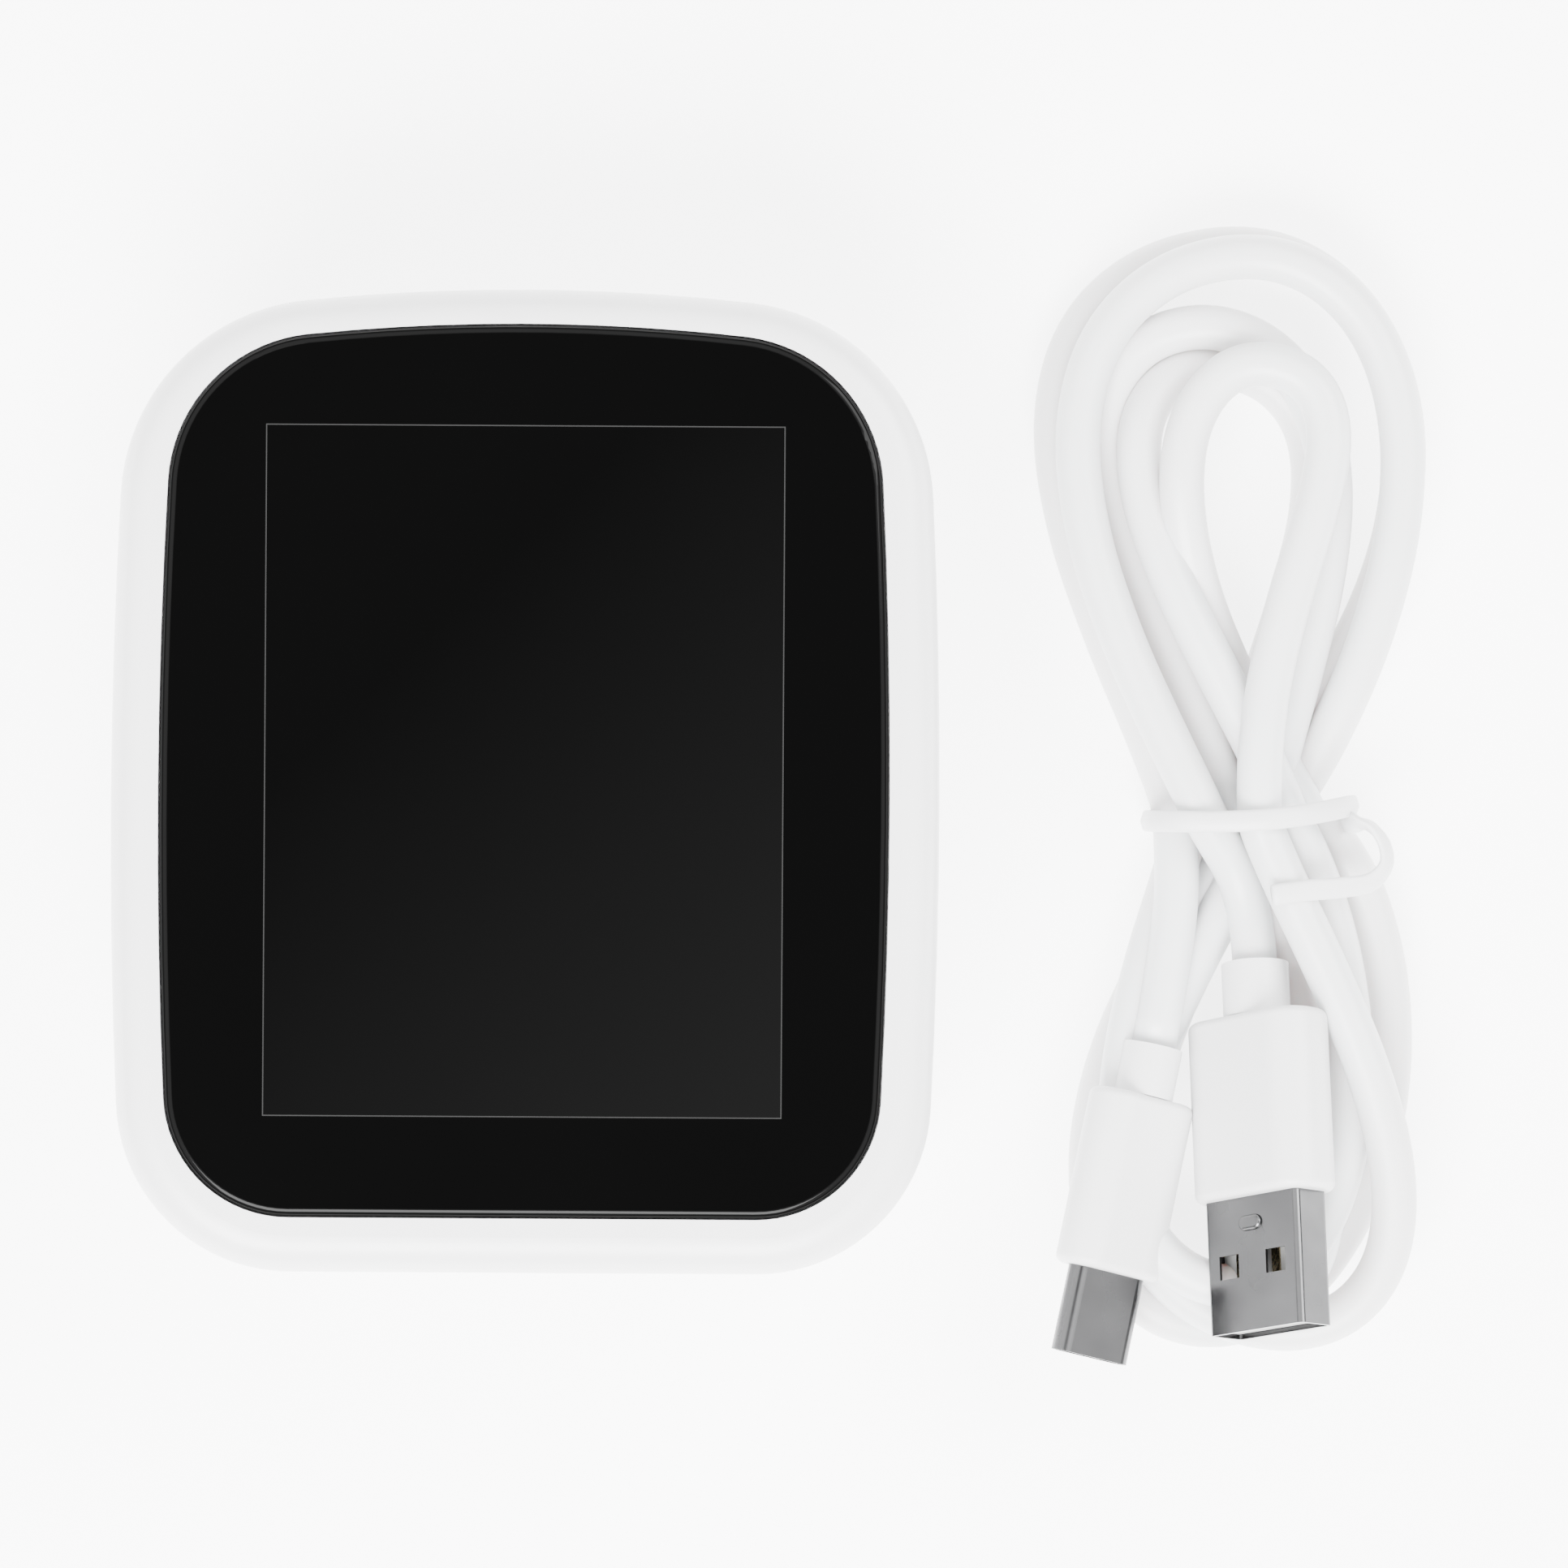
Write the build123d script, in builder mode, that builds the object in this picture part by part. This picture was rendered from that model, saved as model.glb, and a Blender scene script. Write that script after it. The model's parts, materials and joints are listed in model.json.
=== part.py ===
from build123d import *
import math
import os

# Desktop air quality monitor, lying on its back with its display up, and its USB lead tied in a
# hank beside it. Millimetres. +X points right and +Y to the top of the display as a reader sees
# it, +Z points out of the display. The origin is on the surface that the four feet stand on,
# under the middle of the case.

UP = (Align.CENTER, Align.CENTER, Align.MIN)  # a solid that stands on its place
DOWN = (Align.CENTER, Align.CENTER, Align.MAX)  # a solid that hangs from its place

# ---------------------------------------------------------------- driving dimensions: case
CASE_HALF_W = 39.1
CASE_HALF_H = 46.4
CROWN_R = 198.0  # gentle curve of the top edge
SHOULDER_R = 19.4  # upper corners
SIDE_R = 596.0  # slight bulge of the long sides
CORNER_R = 16.5  # lower corners
WIDEST_Y = -3.0

FOOT_R = 3.8
FOOT_PROUD = 1.0
FOOT_RECESS = 0.4
BACK_Z = FOOT_PROUD
PART_Z = 15.0  # joint between the two shells
RIM_Z = 33.6  # front of the white rim
WALL = 2.2
RIM_FILLET = 3.6
BACK_FILLET = 7.0
SEAM_CHAMFER = 0.3
TONGUE_H = 1.5
TONGUE_INSET = 1.2  # from the outside of the wall
FIT_GAP = 0.1
HOLE_GAP = 0.05  # round a screw's thread
SCREW_CROSS = (3.2, 0.8)  # driver slot

# ---------------------------------------------------------------- driving dimensions: display
LENS_INSET = 4.85  # rim width beside the window
LENS_HALF_H = 41.9
LENS_Y = 0.95  # the window sits a little above the middle
LENS_TOP_Z = 34.0
LENS_T = 2.0
LENS_EDGE_R = 0.8
ADHESIVE_T = 0.2
PLATE_T = 1.8
SCREEN_W = 48.6  # 3.2 inch panel, 240 x 320 dots
SCREEN_H = 64.8
WINDOW_MARGIN = 1.0
PANEL_W = 55.0
PANEL_H = 77.7
PANEL_TOP_MARGIN = 3.4  # glass above the active area
PANEL_T = 1.4
LCD_GASKET_T = 0.3
BACKLIGHT_T = 1.6

LENS_BOTTOM_Z = LENS_TOP_Z - LENS_T
RECESS_Z = LENS_BOTTOM_Z - ADHESIVE_T
PLATE_Z = RECESS_Z - PLATE_T
PANEL_TOP_Z = PLATE_Z - LCD_GASKET_T
PANEL_Z = PANEL_TOP_Z - PANEL_T
BACKLIGHT_Z = PANEL_Z - BACKLIGHT_T
PANEL_Y = LENS_Y + SCREEN_H / 2 + PANEL_TOP_MARGIN - PANEL_H / 2

# ---------------------------------------------------------------- driving dimensions: insides
BOARD_W = 66.0
BOARD_H = 76.0
BOARD_T = 1.6
BOARD_Z = 22.0  # rear side, where the sensors sit
BOARD_CORNER_R = 10.0
CASE_SCREWS = [(sx * x, y) for sx in (-1, 1) for x, y in ((28.5, 32.0), (28.0, -35.5))]
BOSS_R = 3.5
BOSS_TOP_Z = 26.4
BOSS_RIB_L = 12.0
BOSS_RIB_T = 1.6
POST_R = 4.0
SCREW_SEAT_Z = 8.0
SCREW_HEAD_R = 2.7
SCREW_HEAD_T = 2.0
SCREW_R = 1.45
SCREW_TIP_Z = 23.0
BOARD_SCREWS = [(sx * 30.8, y) for sx in (-1, 1) for y in (20.0, -12.0)]
BOARD_BOSS_R = 2.6
BOARD_SCREW_R = 0.95
BOARD_SCREW_HEAD_R = 1.9
BOARD_SCREW_HEAD_T = 1.4
BOARD_SCREW_TIP_Z = 28.5

BUTTON_X = 12.0
BUTTON_Z = 20.4
BUTTON_W = 12.0
BUTTON_H = 5.0
BUTTON_GAP = 0.15
BUTTON_PROUD = 0.3
FLANGE_Y = (42.0, 43.0)
PLUNGER_TIP_Y = 39.4
SWITCH_Y = (34.0, 37.8)

USB_Y = -24.0
SOCKET_W = 8.94
SOCKET_H = 3.26
SOCKET_WALL = 0.3
SOCKET_X = (-38.2, -30.9)
SOCKET_Z = BOARD_Z - SOCKET_H / 2

SENSOR_BOX = (38.0, 35.0)
SENSOR_AT = (-4.5, 15.5)
SENSOR_Z = (9.9, 21.4)
SENSOR_COVER_T = 0.5
FAN_AT = (SENSOR_AT[0] - 7.0, SENSOR_AT[1])
FAN_POCKET_R = 10.4
FAN_FLOOR_Z = 18.4
FAN_R = 9.7
HUB_R = 4.5
HUB_Z = (11.2, 17.8)
AXLE_R = 0.75
AXLE_CLEARANCE = 0.05
BLADES = 9

# place on the board, then size
BUZZER_AT = (24.0, -6.0)
BUZZER_R, BUZZER_H, BUZZER_HOLE_R = 4.5, 4.2, 0.9
CLIMATE_AT = (29.5, -0.5)
CLIMATE_BOX = (3.0, 3.0, 1.1)
CLIMATE_PORT = (0.8, 0.5)
CO2_AT = (20.3, 24.0)
CO2_BOX = (10.1, 10.1, 6.5)
CO2_WINDOW = (5.0, 5.0, 0.3)
GAS_AT = (23.0, 9.0)
GAS_R, GAS_H = 7.4, 8.6
GAS_HOLES = (6, 3.4, 0.9, 1.0)  # count, circle, radius and depth

INNER_BACK_Z = BACK_Z + WALL
FILTER_T = 0.8
BATTERY = (40.0, 30.0, 8.0)
BATTERY_AT = (-2.5, -23.0)
TAPE_T = 0.6

# ---------------------------------------------------------------- driving dimensions: USB lead
CORD_R = 2.2
A_LEAD_RUN, C_LEAD_RUN = 7.0, 12.0  # last straight run of each lead
TIE_AT = Vector(69.7, -3.2, 0)  # where the tie holds the hank
WAIST_W = 18.0
WAIST_D = 8.0
WAIST_Z = 1.0  # room for the tie underneath
WAIST_R = 2.0
WAIST_H = 12.6
OUTER_TURNS_H = 8.8
INNER_TURNS_H = 11.5
LOWER_TURNS_H = 7.6
# outlines of the turns: widest on the left, widest on the right, reach, start
OUTER_TURNS = (20.9, 17.4, 60.8, -3.0)
OUTER_GAP = (14.6, 12.8, 47.4, 5.0)
INNER_TURNS = (15.8, 10.3, 51.8, -2.0)
INNER_GAP = (4.1, 4.2, 24.0, 17.0)
LOWER_TURNS = (-17.7, -16.6, -55.0, 3.0)
LOWER_GAP = (-4.4, -5.6, -30.0, -9.5)

A_TIP = Vector(71.7, -52.6, 16.5)
A_TILT = 13.0  # the tip of the USB-A plug lies on the turns, so it points up
A_LEAN = 1.9
A_ROLL = 46.0
A_SHELL = (12.0, 4.5, 13.0)
A_SHELL_WALL = 0.3
A_WINDOW = (2.5, 2.3)
A_WINDOW_PITCH = 6.0
A_WINDOW_FROM_BODY = 6.6
A_DIMPLE = (2.8, 1.5, 0.4)
A_DIMPLE_ROUND = 0.35
A_DIMPLE_FROM_BODY = 2.6
A_TONGUE = (-0.9, 1.7)  # height of its middle, thickness
A_BODY = (15.2, 7.6, 17.8)
A_BODY_R = 3.4
A_COLLAR_R = 3.3
A_COLLAR_L = 5.3

C_TIP = Vector(54.3, -55.5, 13.2)
C_TILT = 7.0
C_LEAN = -11.8
C_ROLL = -28.0
C_SHELL = (8.3, 2.5, 8.4)
C_SHELL_WALL = 0.3
C_BODY = (11.0, 6.2, 17.5)
C_COLLAR_R = 2.95
C_COLLAR_L = 5.0


# ---------------------------------------------------------------- shared outlines and helpers
def outline(half_w, half_h, inset, centre_y=0.0):
    """Face of the case or the window: crowned top, round shoulders, flat foot, from tangent arcs."""
    top, foot, side = half_h - inset, -half_h + inset, half_w - inset
    crown, shoulder = CROWN_R - inset, SHOULDER_R - inset
    bulge, corner = SIDE_R - inset, CORNER_R - inset
    crown_c = Vector(0, top - crown)
    side_c = Vector(side - bulge, WIDEST_Y)
    # The shoulder's circle lies inside the crown's circle and the side's, and touches both.
    across = side_c - crown_c
    r1, r2 = crown - shoulder, bulge - shoulder
    along = (r1**2 - r2**2 + across.length**2) / (2 * across.length)
    off = math.sqrt(r1**2 - along**2)
    unit = across.normalized()
    shoulder_c = crown_c + unit * along - Vector(-unit.Y, unit.X) * off
    corner_y = foot + corner
    reach = math.sqrt((bulge - corner) ** 2 - (corner_y - side_c.Y) ** 2)
    corner_c = Vector(side_c.X + reach, corner_y)

    def touch(inner, outer, radius):
        return inner + (inner - outer).normalized() * radius

    p_top = Vector(0, top)
    p_shoulder = touch(shoulder_c, crown_c, shoulder)
    p_side = touch(shoulder_c, side_c, shoulder)
    p_corner = touch(corner_c, side_c, corner)
    p_foot = Vector(corner_c.X, foot)

    def arc(start, end, centre, radius):
        middle = centre + ((start + end) * 0.5 - centre).normalized() * radius
        return ThreePointArc(start, middle, end)

    with BuildSketch(Plane.XY, mode=Mode.PRIVATE) as face:
        with BuildLine():
            arc(p_top, p_shoulder, crown_c, crown)
            arc(p_shoulder, p_side, shoulder_c, shoulder)
            arc(p_side, p_corner, side_c, bulge)
            arc(p_corner, p_foot, corner_c, corner)
            Line(p_foot, Vector(0, foot))
            mirror(about=Plane.YZ)
        make_face()
    return face.sketch.moved(Location((0, centre_y, 0)))


def case_face(inset=0.0):
    return outline(CASE_HALF_W, CASE_HALF_H, inset)


def lens_face(grow=0.0):
    half_h = LENS_HALF_H + LENS_INSET
    return outline(CASE_HALF_W, half_h, LENS_INSET - grow, centre_y=LENS_Y)


def facing(point, direction, roll=0.0):
    """Plane at a point, its normal along direction, turned about that normal by roll degrees."""
    level = Vector(0, 0, 1).cross(direction).normalized()
    upward = direction.cross(level)
    turn = math.radians(roll)
    return Plane(
        origin=point,
        x_dir=level * math.cos(turn) + upward * math.sin(turn),
        z_dir=direction,
    )


def plug_axis(tilt, lean):
    """Direction in which a plug points: down the -Y axis, leaning to +X and tilted up."""
    t, a = math.radians(tilt), math.radians(lean)
    return Vector(math.sin(a) * math.cos(t), -math.cos(a) * math.cos(t), math.sin(t))


def save(name, builder):
    part = builder.part
    part.label = name
    export_step(part, f"parts/{name}.step")


os.makedirs("parts", exist_ok=True)
for old in os.listdir("parts"):
    os.remove(os.path.join("parts", old))

# ---------------------------------------------------------------- front shell
TOP_WALL = Plane(origin=(BUTTON_X, 0, BUTTON_Z), x_dir=(1, 0, 0), z_dir=(0, 1, 0))
LEFT_WALL = Plane(origin=(0, USB_Y, SOCKET_Z), x_dir=(0, -1, 0), z_dir=(-1, 0, 0))

with BuildPart() as front_cavity:
    with BuildSketch(Plane.XY.offset(PART_Z)):
        add(case_face(WALL))
    extrude(amount=PLATE_Z - PART_Z)
    # screw bosses, each held to the wall by a rib
    for x, y in CASE_SCREWS:
        outward = math.degrees(math.atan2(y, x))
        with Locations((x, y, PART_Z)):
            Cylinder(BOSS_R, BOSS_TOP_Z - PART_Z, align=UP, mode=Mode.SUBTRACT)
        with Locations(Location((x, y, BOSS_TOP_Z), (0, 0, outward))):
            Box(
                BOSS_RIB_L,
                BOSS_RIB_T,
                BOSS_TOP_Z - PART_Z - TONGUE_H - 2 * FIT_GAP,
                align=(Align.MIN, Align.CENTER, Align.MAX),
                mode=Mode.SUBTRACT,
            )
    with Locations(*[(x, y, PLATE_Z) for x, y in BOARD_SCREWS]):
        Cylinder(BOARD_BOSS_R, PLATE_Z - BOARD_Z - BOARD_T, align=DOWN, mode=Mode.SUBTRACT)

with BuildPart() as front_shell:
    with BuildSketch(Plane.XY.offset(PART_Z)):
        add(case_face())
    extrude(amount=RIM_Z - PART_Z)
    fillet(front_shell.faces().sort_by(Axis.Z)[-1].edges(), RIM_FILLET)
    chamfer(front_shell.faces().sort_by(Axis.Z)[0].edges(), SEAM_CHAMFER)
    add(front_cavity.part, mode=Mode.SUBTRACT)
    # rebate for the rear shell's tongue
    with BuildSketch(Plane.XY.offset(PART_Z)):
        add(case_face(TONGUE_INSET - FIT_GAP))
        add(case_face(WALL + FIT_GAP), mode=Mode.SUBTRACT)
    extrude(amount=TONGUE_H + FIT_GAP, mode=Mode.SUBTRACT)
    # recess that the window sits in, and the opening behind it
    with BuildSketch(Plane.XY.offset(RECESS_Z)):
        add(lens_face(grow=FIT_GAP))
    extrude(amount=LENS_T + ADHESIVE_T, mode=Mode.SUBTRACT)
    with BuildSketch(Plane.XY.offset(PLATE_Z)):
        with Locations((0, LENS_Y)):
            Rectangle(SCREEN_W + 2 * WINDOW_MARGIN, SCREEN_H + 2 * WINDOW_MARGIN)
    extrude(amount=PLATE_T, mode=Mode.SUBTRACT)
    # pilot holes
    with Locations(*[(x, y, PART_Z) for x, y in CASE_SCREWS]):
        Cylinder(SCREW_R + HOLE_GAP, SCREW_TIP_Z + 1 - PART_Z, align=UP, mode=Mode.SUBTRACT)
    with Locations(*[(x, y, BOARD_Z + BOARD_T) for x, y in BOARD_SCREWS]):
        hole = BOARD_SCREW_TIP_Z + 0.5 - BOARD_Z - BOARD_T
        Cylinder(BOARD_SCREW_R + HOLE_GAP, hole, align=UP, mode=Mode.SUBTRACT)
    # button slot in the top wall, socket mouth in the left wall
    with BuildSketch(TOP_WALL.offset(CASE_HALF_H - 2 * WALL)):
        SlotOverall(BUTTON_W + 2 * BUTTON_GAP, BUTTON_H + 2 * BUTTON_GAP)
    extrude(amount=3 * WALL, mode=Mode.SUBTRACT)
    with BuildSketch(LEFT_WALL.offset(CASE_HALF_W - 2 * WALL)):
        SlotOverall(SOCKET_W + 0.7, SOCKET_H + 0.7)
    extrude(amount=3 * WALL, mode=Mode.SUBTRACT)
save("front_shell", front_shell)

# ---------------------------------------------------------------- rear shell
FEET = [(sx * 18.5, y) for sx in (-1, 1) for y in (34.0, -34.8)]
VENT_W, VENT_H, VENT_PITCH = 22.0, 2.0, 4.2
VENT_COLUMNS = 26.0
UPPER_VENTS_Y, LOWER_VENTS_Y = 13.5, -24.6
LABEL = (46.0, 11.0, 0.25)
LABEL_Y = -9.6

with BuildPart() as rear_cavity:
    with BuildSketch(Plane.XY.offset(INNER_BACK_Z)):
        add(case_face(WALL))
    extrude(amount=PART_Z - INNER_BACK_Z)
    fillet(rear_cavity.faces().sort_by(Axis.Z)[0].edges(), BACK_FILLET - WALL)
    with Locations(*[(x, y, 0) for x, y in CASE_SCREWS]):
        Cylinder(POST_R, PART_Z, align=UP, mode=Mode.SUBTRACT)

with BuildPart() as rear_shell:
    with BuildSketch(Plane.XY.offset(BACK_Z)):
        add(case_face())
    extrude(amount=PART_Z - BACK_Z)
    fillet(rear_shell.faces().sort_by(Axis.Z)[0].edges(), BACK_FILLET)
    chamfer(rear_shell.faces().sort_by(Axis.Z)[-1].edges(), SEAM_CHAMFER)
    add(rear_cavity.part, mode=Mode.SUBTRACT)
    with BuildSketch(Plane.XY.offset(PART_Z)):
        add(case_face(TONGUE_INSET))
        add(case_face(WALL), mode=Mode.SUBTRACT)
    extrude(amount=TONGUE_H)
    with Locations(*[(x, y, 0) for x, y in CASE_SCREWS]):
        Cylinder(SCREW_HEAD_R + 0.4, SCREW_SEAT_Z, align=UP, mode=Mode.SUBTRACT)
        Cylinder(SCREW_R + 0.15, PART_Z, align=UP, mode=Mode.SUBTRACT)
    with BuildSketch(Plane.XY.offset(BACK_Z)):
        with Locations((0, UPPER_VENTS_Y)):
            with GridLocations(VENT_COLUMNS, VENT_PITCH, 2, 7):
                SlotOverall(VENT_W, VENT_H)
        with Locations((0, LOWER_VENTS_Y)):
            with GridLocations(VENT_COLUMNS, VENT_PITCH, 2, 3):
                SlotOverall(VENT_W, VENT_H)
    extrude(amount=WALL, mode=Mode.SUBTRACT)
    with BuildSketch(Plane.XY.offset(BACK_Z)):
        with Locations(*FEET):
            Circle(FOOT_R + FIT_GAP)
    extrude(amount=FOOT_RECESS, mode=Mode.SUBTRACT)
    with BuildSketch(Plane.XY.offset(BACK_Z)):
        with Locations((0, LABEL_Y)):
            RectangleRounded(LABEL[0] + 0.4, LABEL[1] + 0.4, 1.4)
    extrude(amount=LABEL[2] + 0.05, mode=Mode.SUBTRACT)
save("rear_shell", rear_shell)

with BuildPart() as foot_pads:
    with Locations(*[(x, y, 0) for x, y in FEET]):
        Cylinder(FOOT_R, FOOT_PROUD + FOOT_RECESS, align=UP)
    fillet(foot_pads.edges().filter_by(GeomType.CIRCLE).group_by(Axis.Z)[0], 0.3)
save("foot_pads", foot_pads)

with BuildPart() as rating_label:
    with BuildSketch(Plane.XY.offset(BACK_Z + 0.05)):
        with Locations((0, LABEL_Y)):
            RectangleRounded(LABEL[0], LABEL[1], 1.2)
    extrude(amount=LABEL[2])
save("rating_label", rating_label)

with BuildPart() as case_screws:
    with Locations(*[(x, y, SCREW_SEAT_Z) for x, y in CASE_SCREWS]):
        Cylinder(SCREW_HEAD_R, SCREW_HEAD_T, align=DOWN)
        Cylinder(SCREW_R, SCREW_TIP_Z - SCREW_SEAT_Z, align=UP)
    heads = case_screws.edges().filter_by(GeomType.CIRCLE).group_by(Axis.Z)[0]
    fillet(heads, 0.7)
    with BuildSketch(Plane.XY.offset(SCREW_SEAT_Z - SCREW_HEAD_T)):
        with Locations(*CASE_SCREWS):
            Rectangle(*SCREW_CROSS)
            Rectangle(*SCREW_CROSS[::-1])
    extrude(amount=1.0, mode=Mode.SUBTRACT)
save("case_screws", case_screws)

# ---------------------------------------------------------------- display stack
with BuildPart() as display_lens:
    with BuildSketch(Plane.XY.offset(LENS_BOTTOM_Z)):
        add(lens_face())
    extrude(amount=LENS_T)
    fillet(display_lens.faces().sort_by(Axis.Z)[-1].edges(), LENS_EDGE_R)
save("display_lens", display_lens)

with BuildPart() as lens_adhesive:
    with BuildSketch(Plane.XY.offset(RECESS_Z)):
        add(lens_face(grow=-0.5))
        with Locations((0, LENS_Y)):
            Rectangle(
                SCREEN_W + 2 * WINDOW_MARGIN + 1,
                SCREEN_H + 2 * WINDOW_MARGIN + 1,
                mode=Mode.SUBTRACT,
            )
    extrude(amount=ADHESIVE_T)
save("lens_adhesive", lens_adhesive)

with BuildPart() as lcd_gasket:
    with BuildSketch(Plane.XY.offset(PANEL_TOP_Z)):
        with Locations((0, LENS_Y)):
            Rectangle(SCREEN_W + 5, SCREEN_H + 5)
            Rectangle(SCREEN_W + 2, SCREEN_H + 2, mode=Mode.SUBTRACT)
    extrude(amount=LCD_GASKET_T)
save("lcd_gasket", lcd_gasket)

with BuildPart() as lcd_panel:
    with BuildSketch(Plane.XY.offset(PANEL_Z)):
        with Locations((0, PANEL_Y)):
            Rectangle(PANEL_W, PANEL_H)
    extrude(amount=PANEL_T / 2)
    with BuildSketch(Plane.XY.offset(PANEL_Z + PANEL_T / 2)):
        with Locations((0, LENS_Y)):
            Rectangle(PANEL_W, SCREEN_H + 2 * PANEL_TOP_MARGIN)
    extrude(amount=PANEL_T / 2)
save("lcd_panel", lcd_panel)

with BuildPart() as lcd_backlight:
    with BuildSketch(Plane.XY.offset(BACKLIGHT_Z)):
        with Locations((0, PANEL_Y)):
            RectangleRounded(PANEL_W, PANEL_H, 0.8)
    extrude(amount=BACKLIGHT_T)
save("lcd_backlight", lcd_backlight)

# flexible circuit: out of the panel's lower edge, round, and back to the board
FLEX_T, FLEX_W = 0.2, 22.0
PANEL_FOOT_Y = PANEL_Y - PANEL_H / 2
CONNECTOR_Y = -34.5
CONNECTOR_T = 1.5
FLEX_TOP_Z = PANEL_Z + 0.35
FLEX_LOW_Z = BOARD_Z + BOARD_T + CONNECTOR_T / 2
with BuildPart() as lcd_flex:
    with BuildSketch(Plane.YZ.offset(-FLEX_W / 2)):
        with BuildLine():
            start_y = PANEL_FOOT_Y - FLEX_T / 2
            turn_y = start_y - 0.2
            turn_r = (FLEX_TOP_Z - FLEX_LOW_Z) / 2
            Line((start_y, FLEX_TOP_Z), (turn_y, FLEX_TOP_Z))
            ThreePointArc(
                (turn_y, FLEX_TOP_Z),
                (turn_y - turn_r * 0.6, FLEX_LOW_Z + turn_r),
                (turn_y, FLEX_LOW_Z),
            )
            Line((turn_y, FLEX_LOW_Z), (CONNECTOR_Y - 2.4 - FLEX_T / 2, FLEX_LOW_Z))
            offset(amount=FLEX_T / 2, side=Side.BOTH)
        make_face()
    extrude(amount=FLEX_W)
save("lcd_flex", lcd_flex)

# ---------------------------------------------------------------- main board and what is on it
with BuildPart() as main_board:
    with BuildSketch(Plane.XY.offset(BOARD_Z)):
        RectangleRounded(BOARD_W, BOARD_H, BOARD_CORNER_R)
        with Locations(*CASE_SCREWS):
            Circle(BOSS_R + 0.5, mode=Mode.SUBTRACT)
        with Locations(*BOARD_SCREWS):
            Circle(BOARD_SCREW_R + 0.2, mode=Mode.SUBTRACT)
    extrude(amount=BOARD_T)
save("main_board", main_board)

with BuildPart() as board_screws:
    with Locations(*[(x, y, BOARD_Z) for x, y in BOARD_SCREWS]):
        Cylinder(BOARD_SCREW_HEAD_R, BOARD_SCREW_HEAD_T, align=DOWN)
        Cylinder(BOARD_SCREW_R, BOARD_SCREW_TIP_Z - BOARD_Z, align=UP)
    fillet(board_screws.edges().filter_by(GeomType.CIRCLE).group_by(Axis.Z)[0], 0.5)
save("board_screws", board_screws)

with BuildPart() as flex_connector:
    with BuildSketch(Plane.XY.offset(BOARD_Z + BOARD_T)):
        with Locations((0, CONNECTOR_Y)):
            Rectangle(FLEX_W + 3, 4.8)
    extrude(amount=CONNECTOR_T)
save("flex_connector", flex_connector)

# processor, memory, power stage and passives, on the sensor side of the board
# each: x, y, length, width, height
CHIPS = [(24.0, -17.5, 8.0, 8.0, 1.2), (29.5, -26.0, 4.0, 5.0, 1.0), (-28.0, -2.0, 4.5, 4.5, 0.9)]
PASSIVES = [(-29.5, 2.5 + 2.0 * i, 1.6, 0.8, 0.7) for i in range(4)]
with BuildPart() as board_chips:
    for x, y, long, wide, tall in CHIPS + PASSIVES:
        with Locations((x, y, BOARD_Z)):
            Box(long, wide, tall, align=DOWN)
save("board_chips", board_chips)

with BuildPart() as buzzer:
    with Locations((*BUZZER_AT, BOARD_Z)):
        Cylinder(BUZZER_R, BUZZER_H, align=DOWN)
        Cylinder(BUZZER_HOLE_R, BUZZER_H, align=DOWN, mode=Mode.SUBTRACT)
save("buzzer", buzzer)

with BuildPart() as climate_sensor:
    with Locations((*CLIMATE_AT, BOARD_Z)):
        Box(*CLIMATE_BOX, align=DOWN)
    with Locations((*CLIMATE_AT, BOARD_Z - CLIMATE_BOX[2])):
        Cylinder(*CLIMATE_PORT, align=UP, mode=Mode.SUBTRACT)
save("climate_sensor", climate_sensor)

with BuildPart() as co2_sensor:
    with Locations((*CO2_AT, BOARD_Z)):
        Box(*CO2_BOX, align=DOWN)
    fillet(co2_sensor.edges().filter_by(Axis.Z), 1.0)
    with Locations((*CO2_AT, BOARD_Z - CO2_BOX[2])):
        Box(*CO2_WINDOW, align=UP, mode=Mode.SUBTRACT)
save("co2_sensor", co2_sensor)

with BuildPart() as formaldehyde_sensor:
    with Locations((*GAS_AT, BOARD_Z)):
        Cylinder(GAS_R, GAS_H, align=DOWN)
    fillet(formaldehyde_sensor.edges().filter_by(GeomType.CIRCLE).group_by(Axis.Z)[0], 0.8)
    hole_count, hole_circle, hole_r, hole_depth = GAS_HOLES
    with Locations((*GAS_AT, BOARD_Z - GAS_H)):
        with PolarLocations(hole_circle, hole_count):
            Cylinder(hole_r, hole_depth, align=UP, mode=Mode.SUBTRACT)
save("formaldehyde_sensor", formaldehyde_sensor)

# ---------------------------------------------------------------- USB-C socket
with BuildPart() as usb_socket_shell:
    with BuildSketch(LEFT_WALL.offset(-SOCKET_X[1])):
        SlotOverall(SOCKET_W, SOCKET_H)
        SlotOverall(SOCKET_W - 2 * SOCKET_WALL, SOCKET_H - 2 * SOCKET_WALL, mode=Mode.SUBTRACT)
    extrude(amount=SOCKET_X[1] - SOCKET_X[0])
save("usb_socket_shell", usb_socket_shell)

with BuildPart() as usb_socket_core:
    with BuildSketch(LEFT_WALL.offset(-SOCKET_X[1])):
        SlotOverall(SOCKET_W - 2 * SOCKET_WALL - 0.05, SOCKET_H - 2 * SOCKET_WALL - 0.05)
    extrude(amount=1.2)
    with BuildSketch(LEFT_WALL.offset(-SOCKET_X[1] + 1.2)):
        Rectangle(6.7, 0.7)
    extrude(amount=5.0)
save("usb_socket_core", usb_socket_core)

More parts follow.
